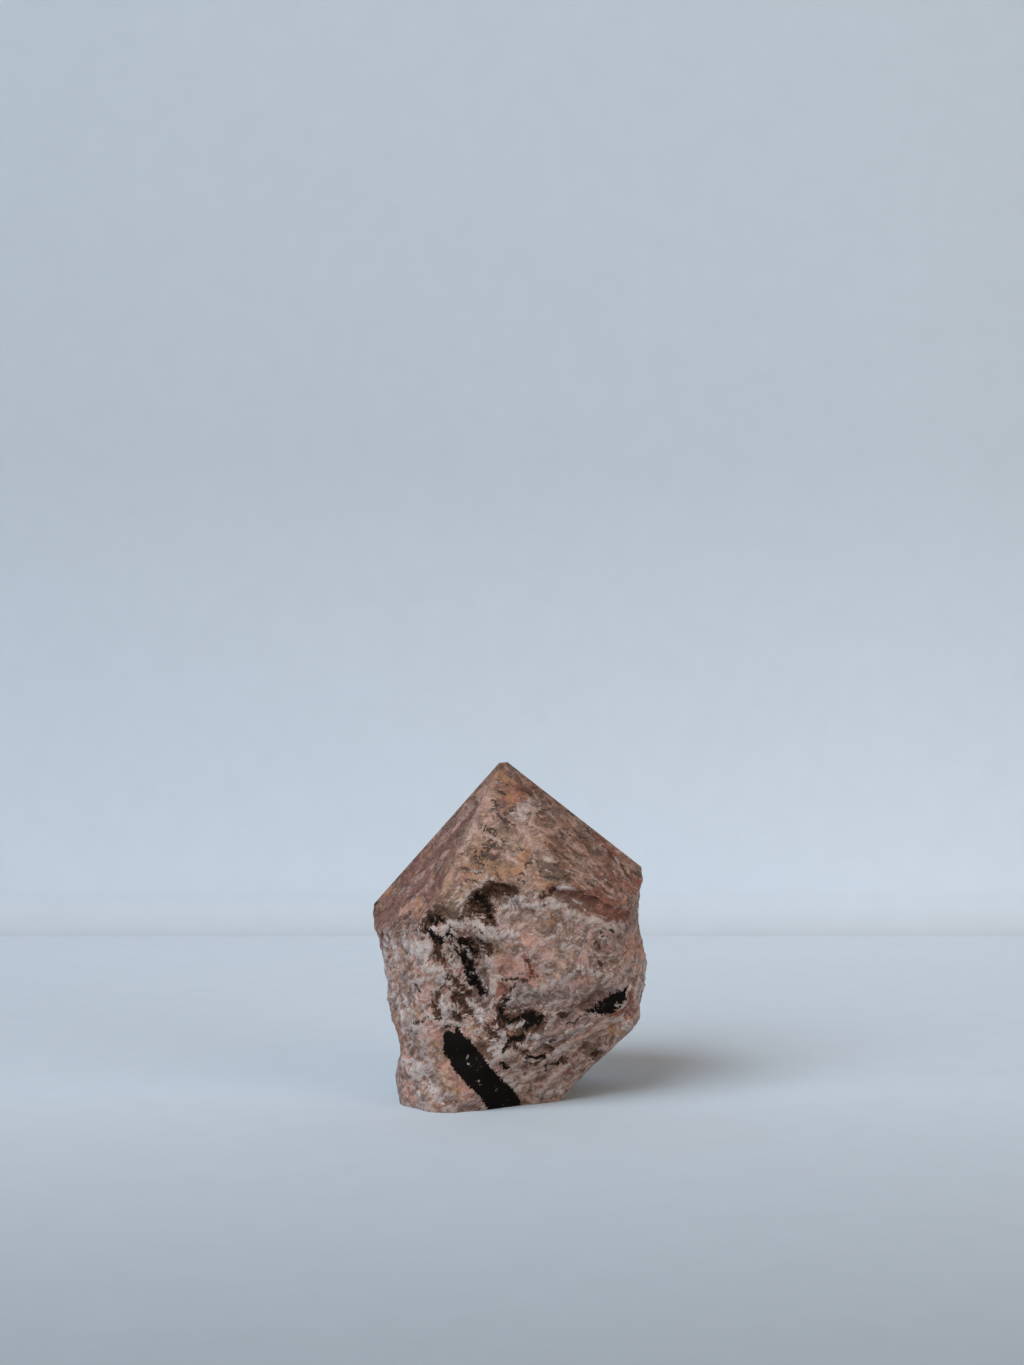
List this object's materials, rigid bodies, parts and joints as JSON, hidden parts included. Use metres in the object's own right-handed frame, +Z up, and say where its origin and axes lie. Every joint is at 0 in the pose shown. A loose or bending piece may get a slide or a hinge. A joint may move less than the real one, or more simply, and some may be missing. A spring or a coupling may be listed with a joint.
{
  "type": "moonstone point",
  "caption": "Semi-polished moonstone point: rough broken pink feldspar with black crystals grown in, sawn flat at the foot and ground to sloping facets that meet in a blunt tip.",
  "frame": {"origin": "on the sawn foot, straight under the middle of the stone", "axes": "+Z up from the sawn foot to the tip, -Y towards the side that the picture shows, +X to that side's right"},
  "size_m": [0.0512, 0.0423, 0.0621],
  "materials": {
    "moonstone": "ground and polished facets at the top, rough and slightly glittering where it broke, dull on the sawn foot"
  },
  "bodies": {
    "root": {"moonstone": "moonstone"}
  },
  "joints": []
}
